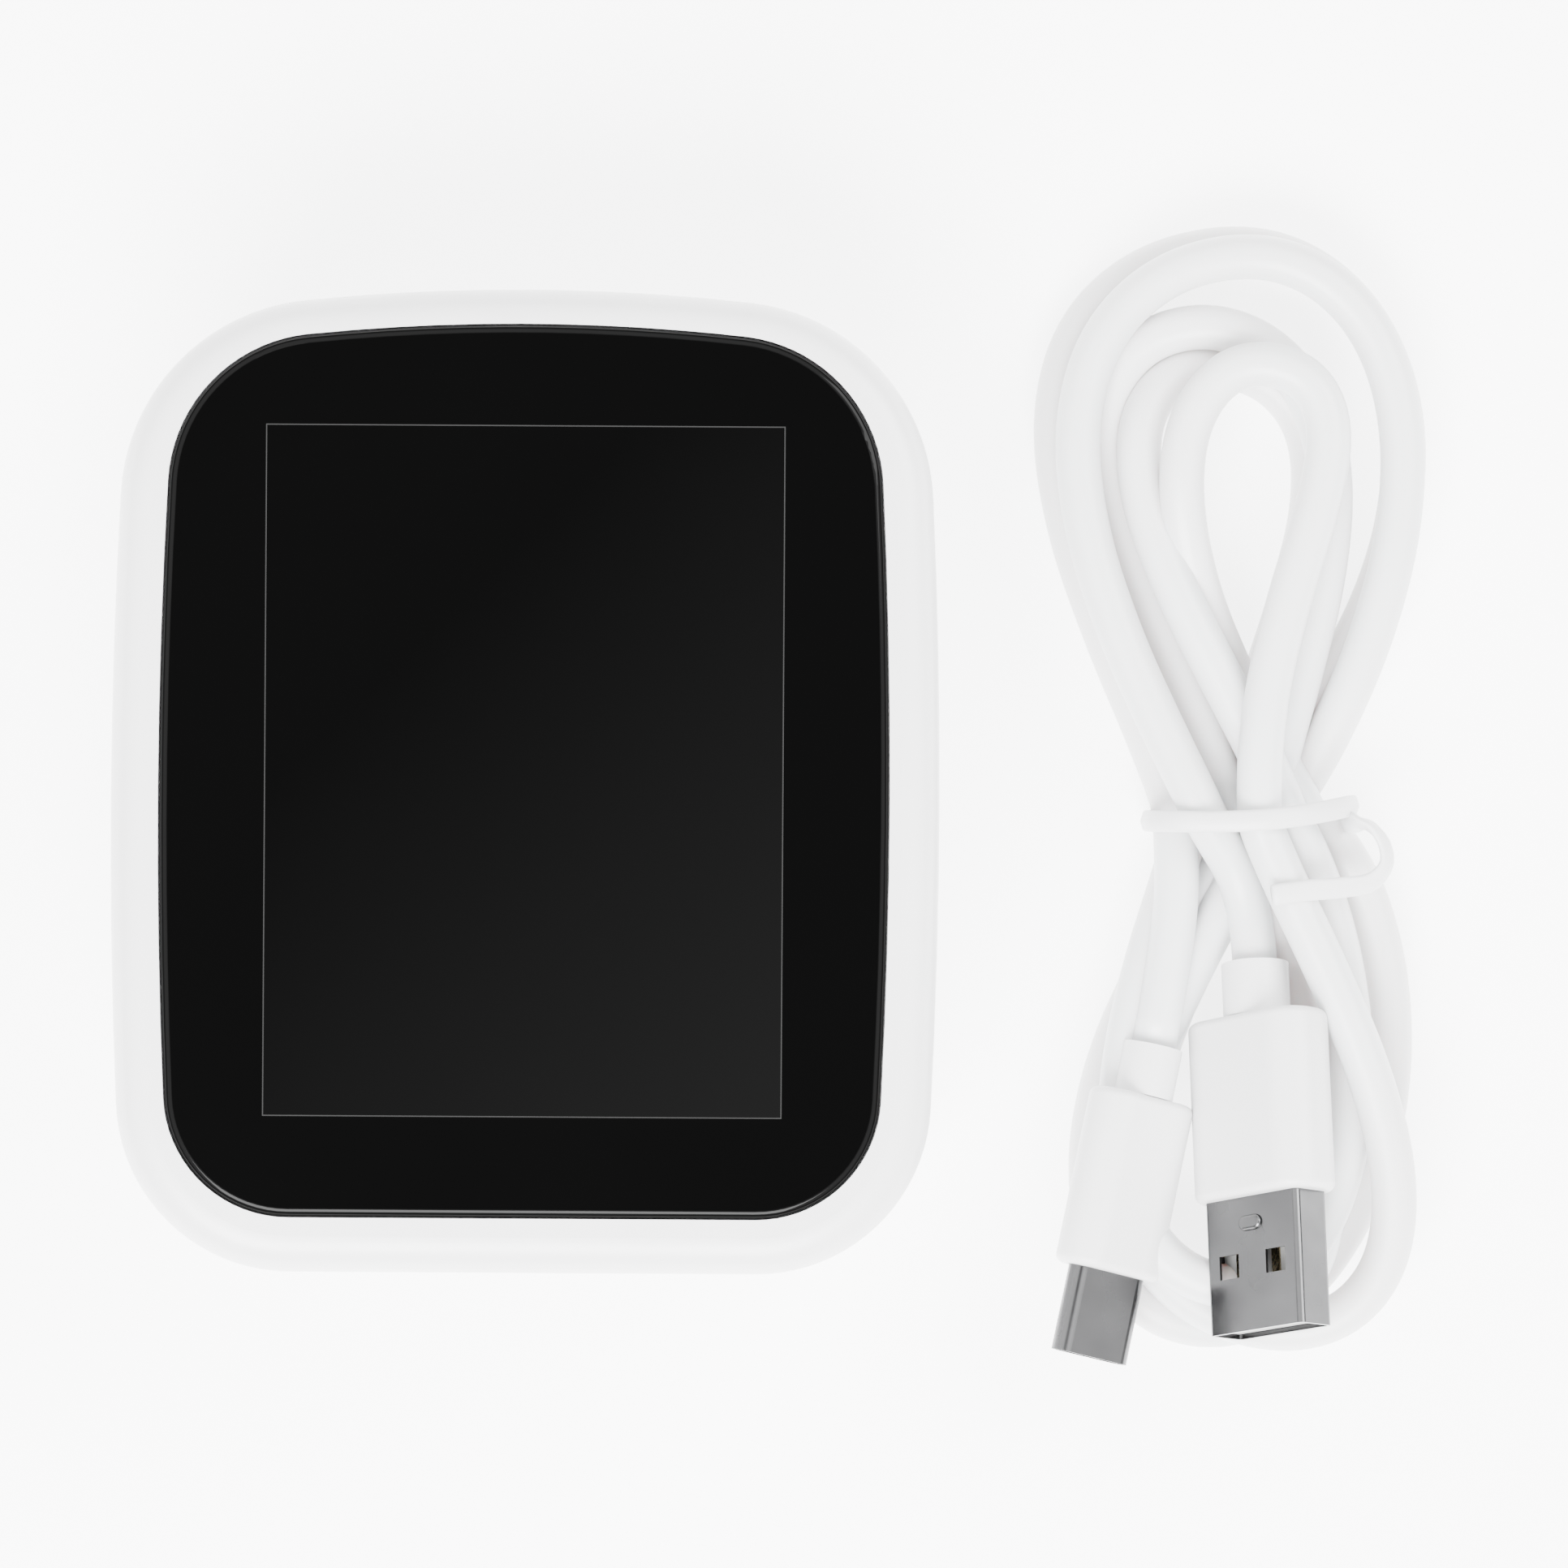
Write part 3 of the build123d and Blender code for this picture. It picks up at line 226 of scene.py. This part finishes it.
cord_line = spline_line(cord_route)
carried = [Vector((0.0, 0.0, 1.0))]
for k in range(1, len(cord_line)):
    ahead = (cord_line[k] - cord_line[k - 1]).normalized()
    carried.append((carried[-1] - ahead * carried[-1].dot(ahead)).normalized())
RING_SIDES = 24
ring_angles = [2 * math.pi * k / RING_SIDES for k in range(RING_SIDES)]
round_profile = [(CORD_R * MM * math.cos(a), CORD_R * MM * math.sin(a)) for a in ring_angles]
cord = sweep("usb_cord", cord_line, carried, round_profile)
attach(cord, "usb_cable")
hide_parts("cable_hank", "cable_lead_a", "cable_lead_c")

# ---------------------------------------------------------------- twist tie
TIE_HALF_W, TIE_HALF_T = 1.05, 0.42
WIRE_HALF_W, WIRE_RISE = 0.35, 0.35  # the wire's width in the band, and how much it thickens it
BAND_SQUARENESS = 0.6
BAND_STEPS = 8
# Millimetres from the tie's place: a point of the band's middle line, and the way its width runs.
BAND = [
    ((2.0, -7.4, 15.0), (0.1, 1.0, 0.0)),
    ((5.4, -6.9, 14.2), (0.1, 1.0, 0.0)),
    ((9.0, -6.6, 13.0), (0.1, 1.0, 0.2)),
    ((11.8, -6.1, 12.0), (-0.3, 0.9, 0.5)),
    ((13.3, -4.4, 11.7), (-0.6, 0.2, 0.8)),
    ((13.1, -2.4, 11.8), (-0.5, -0.2, 0.9)),
    ((11.9, -0.8, 12.0), (-0.2, -0.1, 1.0)),
    ((10.6, -0.3, 11.4), (0.1, 0.4, 0.9)),
    ((9.9, -0.3, 9.0), (0.0, 1.0, 0.3)),
    ((9.7, 0.0, 5.0), (0.0, 1.0, 0.0)),
    ((9.3, 0.2, 1.75), (0.0, 1.0, 0.0)),
    ((7.4, 0.2, 0.75), (0.0, 1.0, 0.0)),
    ((0.0, 0.0, 0.7), (0.0, 1.0, 0.0)),
    ((-7.4, -0.2, 0.75), (0.0, 1.0, 0.0)),
    ((-9.3, -0.3, 1.8), (0.0, 1.0, 0.0)),
    ((-9.7, -0.3, 6.0), (0.0, 1.0, 0.0)),
    ((-9.2, -0.3, 10.6), (0.0, 1.0, 0.0)),
    ((-7.2, -0.3, 13.4), (0.0, 1.0, 0.0)),
    ((-3.6, -0.3, 14.6), (0.0, 1.0, 0.0)),
    ((0.8, -0.1, 15.2), (-0.1, 1.0, 0.0)),
    ((4.4, 0.3, 14.3), (-0.2, 1.0, 0.0)),
    ((7.4, 0.8, 12.6), (-0.2, 1.0, 0.0)),
    ((9.4, 1.2, 10.8), (-0.2, 1.0, 0.1)),
    ((10.4, 1.3, 8.4), (0.0, 1.0, 0.1)),
    ((10.3, 1.1, 6.0), (0.0, 1.0, 0.1)),
]


def through(values, per_span):
    """Smooth line through the given points (Catmull-Rom)."""
    values = np.array(values, dtype=float)
    padded = np.vstack([2 * values[0] - values[1], values, 2 * values[-1] - values[-2]])
    line = []
    for k in range(len(values) - 1):
        a, b, c, d = padded[k : k + 4]
        for t in np.linspace(0, 1, per_span, endpoint=False):
            straight = 2 * b + (c - a) * t
            squared = (2 * a - 5 * b + 4 * c - d) * t**2
            cubed = (3 * b - a - 3 * c + d) * t**3
            line.append(0.5 * (straight + squared + cubed))
    line.append(values[-1])
    return np.array(line)


def band_profile():
    """Flat band with a round wire in its middle."""
    profile = []
    for angle in ring_angles:
        side = math.copysign(abs(math.cos(angle)) ** BAND_SQUARENESS, math.cos(angle))
        across = side * TIE_HALF_W
        wire = 1 + WIRE_RISE * math.exp(-((across / WIRE_HALF_W) ** 2))
        profile.append((across * MM, math.sin(angle) * TIE_HALF_T * wire * MM))
    return profile


band_points = through([point for point, _ in BAND], BAND_STEPS) + TIE_AT
band_line = [Vector(point) * MM for point in band_points]
band_sides = [Vector(side) for side in through([side for _, side in BAND], BAND_STEPS)]
tie = sweep("twist_tie", band_line, band_sides, band_profile())
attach(tie, "usb_cable")
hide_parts("cable_tie")


# ---------------------------------------------------------------- materials: helpers
class Shader:
    """One node material, built from noise in the piece's own coordinates (metres)."""

    def __init__(self, name, color, roughness, **inputs):
        self.material = bpy.data.materials.new(name)
        self.material.use_nodes = True
        self.tree = self.material.node_tree
        self.bsdf = self.tree.nodes["Principled BSDF"]
        self.place = self.tree.nodes.new("ShaderNodeTexCoord").outputs["Object"]
        self.base = (*color, 1.0)
        self.set("Base Color", self.base)
        self.set("Roughness", roughness)
        for key, value in inputs.items():
            self.set(key.replace("_", " "), value)

    def set(self, name, value):
        self.bsdf.inputs[name].default_value = value

    def node(self, kind, **settings):
        node = self.tree.nodes.new(kind)
        for key, value in settings.items():
            setattr(node, key, value)
        return node

    def link(self, source, target):
        self.tree.links.new(source, target)

    def math(self, operation, a, b=None):
        node = self.node("ShaderNodeMath", operation=operation)
        for socket, value in zip(node.inputs, (a, b)):
            if value is None:
                continue
            if isinstance(value, (int, float)):
                socket.default_value = value
            else:
                self.link(value, socket)
        return node.outputs[0]

    def noise(self, size_mm, detail=2.0, stretch=(1, 1, 1)):
        """Noise whose features are about size_mm across, drawn out along an axis by stretch."""
        mapping = self.node("ShaderNodeMapping")
        mapping.inputs["Scale"].default_value = [1000.0 / size_mm / k for k in stretch]
        self.link(self.place, mapping.inputs["Vector"])
        noise = self.node("ShaderNodeTexNoise")
        noise.inputs["Scale"].default_value = 1.0
        noise.inputs["Detail"].default_value = detail
        self.link(mapping.outputs[0], noise.inputs["Vector"])
        return noise.outputs["Fac"]

    def span(self, value, low, high, start=0.3, end=0.7):
        """Maps start..end to low..high."""
        node = self.node("ShaderNodeMapRange")
        self.link(value, node.inputs["Value"])
        node.inputs["From Min"].default_value = start
        node.inputs["From Max"].default_value = end
        node.inputs["To Min"].default_value = low
        node.inputs["To Max"].default_value = high
        return node.outputs[0]

    def rough(self, value, low, high):
        self.link(self.span(value, low, high), self.bsdf.inputs["Roughness"])

    def tint(self, value, other, amount=1.0):
        """Blends the base colour towards another colour where value is high."""
        mix = self.node("ShaderNodeMix", data_type="RGBA")
        mix.inputs["A"].default_value = self.base
        mix.inputs["B"].default_value = (*other, 1.0)
        self.link(self.span(value, 0.0, amount), mix.inputs["Factor"])
        self.link(mix.outputs["Result"], self.bsdf.inputs["Base Color"])

    def bump(self, value, depth_mm, strength=1.0):
        node = self.node("ShaderNodeBump")
        node.inputs["Distance"].default_value = depth_mm * MM
        node.inputs["Strength"].default_value = strength
        self.link(value, node.inputs["Height"])
        self.link(node.outputs[0], self.bsdf.inputs["Normal"])


def moulded(name, color, roughness, grain_mm=0.25, depth_mm=0.004, shade=0.96, **inputs):
    """Moulded plastic or rubber: fine grain, slightly uneven gloss and tone."""
    shader = Shader(name, color, roughness, **inputs)
    broad = shader.noise(14.0, 3.0)
    shader.rough(broad, roughness - 0.05, roughness + 0.06)
    shader.tint(broad, [c * shade for c in color])
    shader.bump(shader.noise(grain_mm, 3.0), depth_mm)
    return shader


def metal(name, color, roughness, stretch=(1, 30, 1), depth_mm=0.002, grain_mm=0.12):
    """Drawn or pressed metal: faint lines along one axis, or an even grain with stretch (1, 1, 1)."""
    shader = Shader(name, color, roughness, Metallic=1.0)
    lines = shader.noise(grain_mm, 4.0, stretch)
    shader.rough(lines, roughness - 0.07, roughness + 0.1)
    shader.tint(shader.noise(5.0, 3.0), [c * 0.86 for c in color])
    shader.bump(lines, depth_mm)
    return shader


# ---------------------------------------------------------------- materials: one per slot
DISPLAY_AREA = (48.6 * MM, 64.8 * MM)
# painted highlight: a thin lighter line along the display's edge
EDGE_HIGHLIGHT_WIDTH = 0.11 * MM
BLACK_TONE, EDGE_HIGHLIGHT_TONE = 0.001, 0.02
DISPLAY_AND_SHEEN_DARK, DISPLAY_AND_SHEEN_LIGHT = 0.0004, 0.0033  # the display's own faint grey plus a painted reflection, lighter from the upper left corner to the lower right
SHEEN_FROM, SHEEN_TO = -45 * MM, 62 * MM


def window_glass():
    """Black-backed glass; the dark display shows through it as a faintly lighter rectangle, with a
    painted reflection lightening it from the upper left to the lower right and a painted highlight
    along its edge.
    """
    shader = Shader("window_black", (BLACK_TONE, BLACK_TONE, BLACK_TONE), 0.07, Specular_IOR_Level=0.08)
    lens_low, lens_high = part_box("display_lens")
    middle_y = (lens_low[1] + lens_high[1]) / 2
    axes = shader.node("ShaderNodeSeparateXYZ")
    shader.link(shader.place, axes.inputs[0])
    across = shader.math("ABSOLUTE", axes.outputs["X"])
    across = shader.math("SUBTRACT", across, DISPLAY_AREA[0] / 2)
    along = shader.math("SUBTRACT", axes.outputs["Y"], middle_y)
    along = shader.math("ABSOLUTE", along)
    along = shader.math("SUBTRACT", along, DISPLAY_AREA[1] / 2)
    outside = shader.math("MAXIMUM", across, along)
    inside = shader.math("LESS_THAN", outside, 0.0)
    # painted highlight along the display's edge
    edge_highlight = shader.math("LESS_THAN", shader.math("ABSOLUTE", outside), EDGE_HIGHLIGHT_WIDTH / 2)
    # painted reflection: the display's own faint grey made lighter from the upper left corner to the
    # lower right
    slant = shader.math("SUBTRACT", axes.outputs["X"], axes.outputs["Y"])
    display_and_sheen = shader.span(slant, DISPLAY_AND_SHEEN_DARK, DISPLAY_AND_SHEEN_LIGHT, SHEEN_FROM, SHEEN_TO)
    tone = shader.math("MULTIPLY", inside, display_and_sheen)
    tone = shader.math("MAXIMUM", tone, shader.math("MULTIPLY", edge_highlight, EDGE_HIGHLIGHT_TONE))
    tone = shader.math("MAXIMUM", tone, BLACK_TONE)
    color = shader.node("ShaderNodeCombineColor")
    for channel in ("Red", "Green", "Blue"):
        shader.link(tone, color.inputs[channel])
    shader.link(color.outputs[0], shader.bsdf.inputs["Base Color"])
    shader.rough(shader.noise(22.0, 4.0), 0.05, 0.11)
    shader.bump(shader.noise(30.0, 1.0), 0.01, 0.2)
    return shader


def board_mask():
    """Green solder mask with lighter tracks in a brick pattern."""
    shader = moulded("board_green", (0.02, 0.16, 0.07), 0.38)
    bricks = shader.node("ShaderNodeTexBrick")
    bricks.inputs["Scale"].default_value = 180.0
    shader.link(shader.place, bricks.inputs["Vector"])
    shader.tint(bricks.outputs["Fac"], (0.05, 0.3, 0.13))
    return shader


def mesh_cloth():
    """Woven dust mesh: crossing threads as waves along X and Y."""
    shader = Shader("filter_grey", (0.16, 0.16, 0.165), 0.8)
    threads = []
    for direction in ("X", "Y"):
        wave = shader.node("ShaderNodeTexWave", bands_direction=direction)
        wave.inputs["Scale"].default_value = 700.0
        shader.link(shader.place, wave.inputs["Vector"])
        threads.append(wave.outputs["Fac"])
    weave = shader.math("MAXIMUM", *threads)
    shader.tint(weave, (0.42, 0.42, 0.43))
    shader.bump(weave, 0.12)
    return shader


WHITE = (0.68, 0.68, 0.683)
MATERIALS = {
    "shell_white": moulded(
        "shell_white", WHITE, 0.34, 0.3, 0.003, 0.975, Coat_Weight=0.25, Coat_Roughness=0.25
    ),
    "button_white": moulded("button_white", (0.68, 0.68, 0.685), 0.4, 0.2, 0.004),
    "window_black": window_glass(),
    "lcd_dark": moulded("lcd_dark", (0.01, 0.01, 0.012), 0.15, 3.0, 0.002),
    "rubber_grey": moulded("rubber_grey", (0.1, 0.1, 0.102), 0.75, 0.18, 0.02, 0.8),
    "label_silver": moulded("label_silver", (0.6, 0.6, 0.61), 0.42, 0.12, 0.004, 0.9),
    "screw_steel": metal("screw_steel", (0.5, 0.5, 0.52), 0.32, (1, 1, 8)),
    "foam_black": moulded("foam_black", (0.02, 0.02, 0.02), 0.9, 0.3, 0.05, 0.6),
    "bezel_steel": metal("bezel_steel", (0.6, 0.6, 0.6), 0.35, (20, 1, 1)),
    "flex_amber": moulded("flex_amber", (0.42, 0.2, 0.04), 0.3, 0.8, 0.01, 0.7),
    "board_green": board_mask(),
    "component_black": moulded("component_black", (0.022, 0.022, 0.023), 0.5, 0.1, 0.008, 0.7),
    "component_ivory": moulded("component_ivory", (0.7, 0.66, 0.55), 0.45, 0.2, 0.005, 0.9),
    "filter_grey": mesh_cloth(),
    "cell_silver": metal("cell_silver", (0.66, 0.66, 0.68), 0.4, (1, 1, 1), 0.02),
    "wire_red": moulded("wire_red", (0.45, 0.02, 0.02), 0.45, 0.3, 0.005, 0.8),
    "usb_steel": metal("usb_steel", (0.105, 0.105, 0.107), 0.22, (1, 1, 1), 0.0003, 6.0),
    "plug_white": moulded("plug_white", WHITE, 0.36, 0.22, 0.004, 0.97),
    # core_white is much darker than the other whites: painted shade for the shadowed inside of the
    # USB-A plug
    "core_white": moulded("core_white", (0.32, 0.32, 0.315), 0.45, 0.2, 0.004),
    "core_black": moulded("core_black", (0.02, 0.02, 0.02), 0.45, 0.2, 0.004, 0.7),
    # contact_gold is the contacts' own gold, darkened as painted shade for the shadowed inside of the
    # plug
    "contact_gold": metal("contact_gold", (0.3, 0.25, 0.16), 0.25),
    "cord_white": moulded(
        "cord_white", WHITE, 0.36, 0.5, 0.003, 0.975, Subsurface_Weight=0.04
    ),
    "tie_white": moulded("tie_white", (0.69, 0.69, 0.695), 0.42, 0.4, 0.01, 0.95),
}
for entry in frame["record"]["subparts"]:
    piece = nodes[entry["node"]]
    piece.data.materials.clear()
    piece.data.materials.append(MATERIALS[entry["material_slot"]].material)
cord.data.materials.append(MATERIALS["cord_white"].material)
tie.data.materials.append(MATERIALS["tie_white"].material)

# ---------------------------------------------------------------- floor and light
FLOOR_HALF = 1.5
FLOOR_GLOW = 2.8
# World brightness by direction: 0 is level, 1 is straight up.
SKY_LEVELS = ((0.0, 0.12), (0.3, 0.26), (0.6, 1.0), (0.94, 1.0), (0.985, 0.04))
SKY_STRENGTH = 4.6

floor_mesh = bpy.data.meshes.new("floor")
floor_bm = bmesh.new()
bmesh.ops.create_grid(floor_bm, x_segments=1, y_segments=1, size=FLOOR_HALF)
floor_bm.to_mesh(floor_mesh)
floor_bm.free()
floor = bpy.data.objects.new("floor", floor_mesh)
bpy.context.scene.collection.objects.link(floor)
paper = moulded("paper", (0.95, 0.95, 0.95), 0.9, 0.4, 0.01, 0.995)
paper.set("Emission Color", (1, 1, 1, 1))
paper.set("Emission Strength", FLOOR_GLOW)
floor_mesh.materials.append(paper.material)

# A white room: dim near the floor, bright higher up, and dark straight overhead.
world = bpy.data.worlds.new("studio")
world.use_nodes = True
sky = world.node_tree
direction = sky.nodes.new("ShaderNodeTexCoord").outputs["Generated"]
height = sky.nodes.new("ShaderNodeSeparateXYZ")
sky.links.new(direction, height.inputs[0])
ramp = sky.nodes.new("ShaderNodeValToRGB")
for place, level in SKY_LEVELS:
    stop = ramp.color_ramp.elements.new(place)
    stop.color = (level, level, level, 1)
ramp.color_ramp.elements.remove(ramp.color_ramp.elements[0])
ramp.color_ramp.elements.remove(ramp.color_ramp.elements[-1])
sky.links.new(height.outputs["Z"], ramp.inputs["Fac"])
sky.links.new(ramp.outputs["Color"], sky.nodes["Background"].inputs["Color"])
sky.nodes["Background"].inputs["Strength"].default_value = SKY_STRENGTH
bpy.context.scene.world = world


def area_light(name, place, target, size, power):
    data = bpy.data.lights.new(name, "AREA")
    data.shape = "RECTANGLE"
    data.size, data.size_y = size
    data.energy = power
    light = bpy.data.objects.new(name, data)
    light.location = place
    aim = Vector(target) - Vector(place)
    light.rotation_euler = aim.to_track_quat("-Z", "Y").to_euler()
    bpy.context.scene.collection.objects.link(light)
    return light


area_light("key", (-0.1, -0.55, 0.75), (0.03, 0, 0), (0.7, 0.5), 38.0)
area_light("fill", (0.6, 0.35, 0.6), (0.03, 0, 0), (0.5, 0.5), 9.0)
